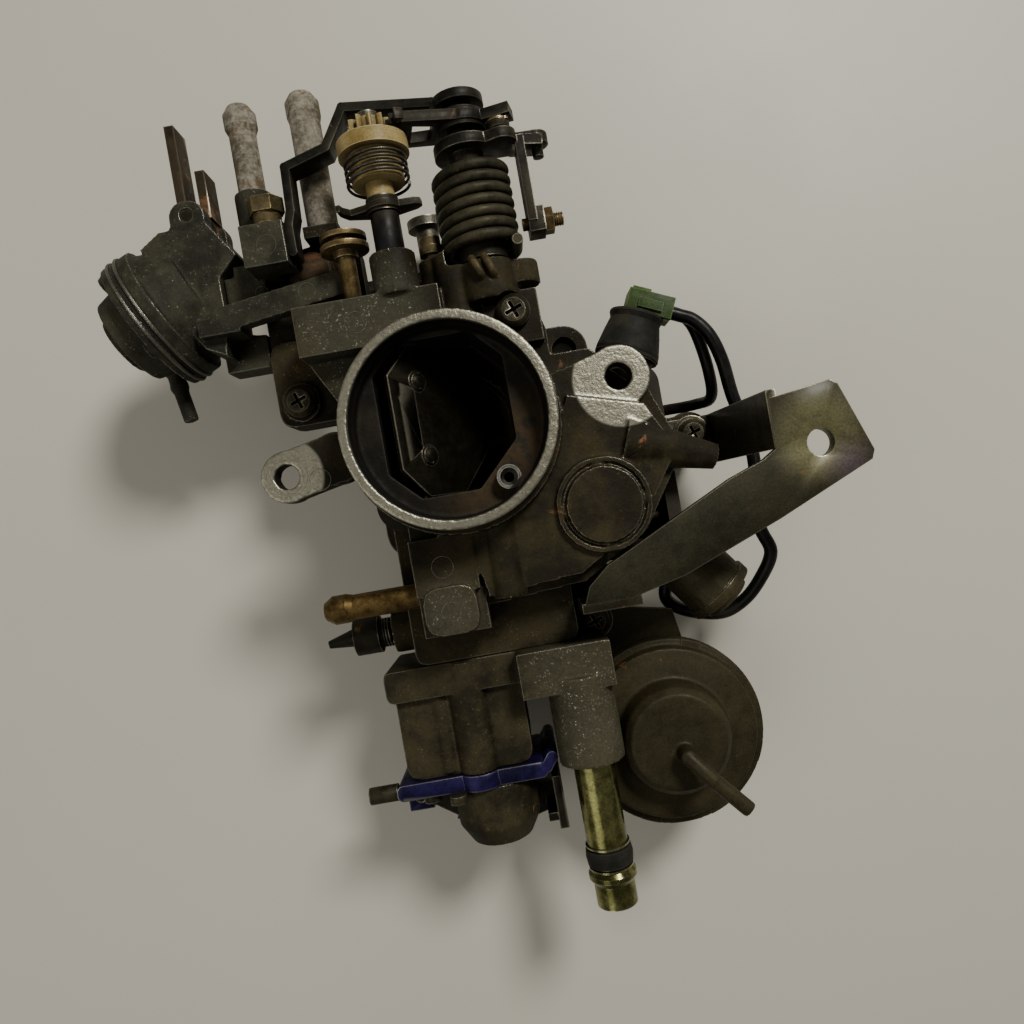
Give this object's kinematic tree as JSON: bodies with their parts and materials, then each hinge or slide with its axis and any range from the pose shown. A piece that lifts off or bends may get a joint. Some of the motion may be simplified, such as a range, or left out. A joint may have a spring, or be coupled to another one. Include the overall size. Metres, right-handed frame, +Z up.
{
  "type": "carburettor throttle body",
  "caption": "Downdraft carburettor-type throttle body with choke and throttle linkage, wax fast-idle unit, vacuum can, positioner, solenoids and support bracket.",
  "frame": {"origin": "axis of the main bore at the manifold flange's bottom face", "axes": "+Z up the bore towards the air inlet; +Y along the throttle and choke shafts towards their levers"},
  "size_m": [0.2157, 0.2564, 0.088],
  "materials": {
    "cast_aluminium": "as cast, under dark oily grime with bright worn edges",
    "zinc_die_cast": "die cast, fuel stained",
    "gasket_fibre": "pressed fibre",
    "bright_tube": "bright drawn",
    "brass": "dull, brown in the corners",
    "pale_plated_steel": "zinc plated, with white and brown corrosion",
    "dark_plated_steel": "dark passivated, oily",
    "zinc_plated_steel": "yellow passivated zinc, patchy grey-green",
    "screw_steel": "plated, worn",
    "black_plastic": "moulded, dusty",
    "boot_rubber": "moulded rubber",
    "green_plastic": "moulded",
    "wire_sleeve": "PVC sleeve",
    "blue_black_steel": "deep violet-blue passivate",
    "chromated_steel": "glossy green-gold chromate",
    "olive_painted_steel": "olive-brown passivate, grimy",
    "spring_steel": "dark spring wire",
    "rusty_steel": "rust bloomed",
    "shaft_steel": "ground, oily",
    "choke_plate_brass": "dark olive tarnish with a bright edge",
    "ivory_nylon": "aged ivory-yellow nylon",
    "lever_steel": "passivated"
  },
  "bodies": {
    "throttle_body": {"air_horn": "cast_aluminium", "main_body": "cast_aluminium", "throttle_flange": "cast_aluminium", "lid_gasket": "gasket_fibre", "insulator": "gasket_fibre", "venturi": "cast_aluminium", "booster_venturi": "zinc_die_cast", "vent_tube": "bright_tube", "needle_seat": "brass", "pivot_pins": "screw_steel", "fuel_nipple": "brass", "hose_nipple_left": "pale_plated_steel", "hose_nipple_right": "pale_plated_steel", "nipple_block": "cast_aluminium", "brass_plugs": "brass", "strap_bracket": "dark_plated_steel", "support_bracket": "zinc_plated_steel", "bracket_screws": "screw_steel", "body_screws": "screw_steel", "choke_bush": "black_plastic", "pivot_bolt": "zinc_plated_steel", "idle_solenoid": "black_plastic", "solenoid_boot": "boot_rubber", "connector": "green_plastic", "harness_wires": "wire_sleeve", "vent_solenoid": "black_plastic", "thermo_housing": "cast_aluminium", "thermo_plate": "blue_black_steel", "thermo_cap": "cast_aluminium", "wax_element": "brass", "coolant_pipe": "chromated_steel", "pipe_o_ring": "boot_rubber", "can_cover": "olive_painted_steel", "can_base": "olive_painted_steel", "diaphragms": "boot_rubber", "diaphragm_springs": "spring_steel", "unit_housing": "cast_aluminium", "unit_cover": "cast_aluminium", "return_spring": "spring_steel", "lever_shaft": "dark_plated_steel", "choke_spring": "spring_steel", "pump_cap": "rusty_steel", "mixture_screw": "dark_plated_steel"},
    "throttle_lever": {"throttle_lever": "dark_plated_steel", "lever_screw": "zinc_plated_steel"},
    "link": {"link_rod": "dark_plated_steel"},
    "throttle": {"throttle_shaft": "shaft_steel", "throttle_plate": "brass"},
    "choke_lever": {"choke_lever": "dark_plated_steel"},
    "choke": {"choke_shaft": "shaft_steel", "choke_plate": "choke_plate_brass", "choke_pinion": "ivory_nylon"},
    "pump_lever": {"pump_lever": "lever_steel"},
    "pump": {"pump_plunger": "lever_steel"},
    "float_arm": {"float": "brass"},
    "needle_body": {"needle": "shaft_steel"},
    "can_rod_body": {"can_rod": "shaft_steel"},
    "positioner_rod": {"unit_rod": "shaft_steel"},
    "fork": {"fork_lever": "dark_plated_steel"},
    "fast_idle": {"fast_idle_lever": "dark_plated_steel"}
  },
  "joints": [
    {"name": "throttle_lever_turn", "type": "hinge", "parent": "throttle_body", "child": "throttle_lever", "pos_m": [0.017, 0.0775, 0.06693], "axis": [0, 1, 0], "range_deg": [0, 80], "stiffness_Nm_per_rad": 0.02, "springref_deg": -28.65},
    {"name": "link_pivot", "type": "hinge", "parent": "throttle_lever", "child": "link", "pos_m": [0.02727, 0.0808, 0.07087], "axis": [0, 1, 0], "range_deg": [-80, 0]},
    {"name": "throttle_shaft_turn", "type": "hinge", "parent": "throttle_body", "child": "throttle", "pos_m": [0, 0, 0.0175], "axis": [0, 1, 0], "range_deg": [0, 80]},
    {"name": "choke_lever_turn", "type": "hinge", "parent": "throttle_body", "child": "choke_lever", "pos_m": [0.017, 0.085, 0.06693], "axis": [0, 1, 0], "range_deg": [-9.5, 10.7]},
    {"name": "choke_shaft_turn", "type": "hinge", "parent": "throttle_body", "child": "choke", "pos_m": [-0.0085, 0.03, 0.072], "axis": [0, 1, 0], "range_deg": [-45, 40]},
    {"name": "pump_lever_turn", "type": "hinge", "parent": "throttle_body", "child": "pump_lever", "pos_m": [-0.046, 0.055, 0.031], "axis": [0, 1, 0], "range_deg": [-10, 0]},
    {"name": "pump_stroke", "type": "slide", "parent": "throttle_body", "child": "pump", "axis": [0, 0, 1], "range_m": [0, 0.0024]},
    {"name": "float_swing", "type": "hinge", "parent": "throttle_body", "child": "float_arm", "pos_m": [0.0425, -0.035, 0.053], "axis": [1, 0, 0], "range_deg": [0, 9]},
    {"name": "needle_lift", "type": "slide", "parent": "throttle_body", "child": "needle_body", "axis": [0, 0, 1], "range_m": [0, 0.001]},
    {"name": "can_rod_pull", "type": "slide", "parent": "throttle_body", "child": "can_rod_body", "axis": [0, 0, 1], "range_m": [0, 0.006], "stiffness_N_per_m": 60, "springref_m": -0.004},
    {"name": "positioner_pull", "type": "slide", "parent": "throttle_body", "child": "positioner_rod", "axis": [-0.9063, -0.4226, 0], "range_m": [0, 0.0045], "stiffness_N_per_m": 60, "springref_m": -0.003},
    {"name": "fork_turn", "type": "hinge", "parent": "throttle_body", "child": "fork", "pos_m": [-0.067, 0.076, 0.05], "axis": [0, 0, 1], "range_deg": [-16.1, 0]},
    {"name": "fast_idle_turn", "type": "hinge", "parent": "throttle_body", "child": "fast_idle", "pos_m": [-0.033, -0.113, 0.025], "axis": [0, 0, 1], "range_deg": [-5, 0]}
  ],
  "couplings": [
    {"joint": "link_pivot", "follows": "throttle_lever_turn", "ratio": -1},
    {"joint": "throttle_shaft_turn", "follows": "throttle_lever_turn", "ratio": 1},
    {"joint": "pump_lever_turn", "follows": "throttle_lever_turn", "ratio": -0.125},
    {"joint": "pump_stroke", "follows": "throttle_lever_turn", "m_per_rad": 0.001647},
    {"joint": "choke_shaft_turn", "follows": "choke_lever_turn", "ratio": -4.2},
    {"joint": "needle_lift", "follows": "float_swing", "m_per_rad": 0.006},
    {"joint": "fork_turn", "follows": "positioner_pull", "rad_per_m": -62.05}
  ]
}
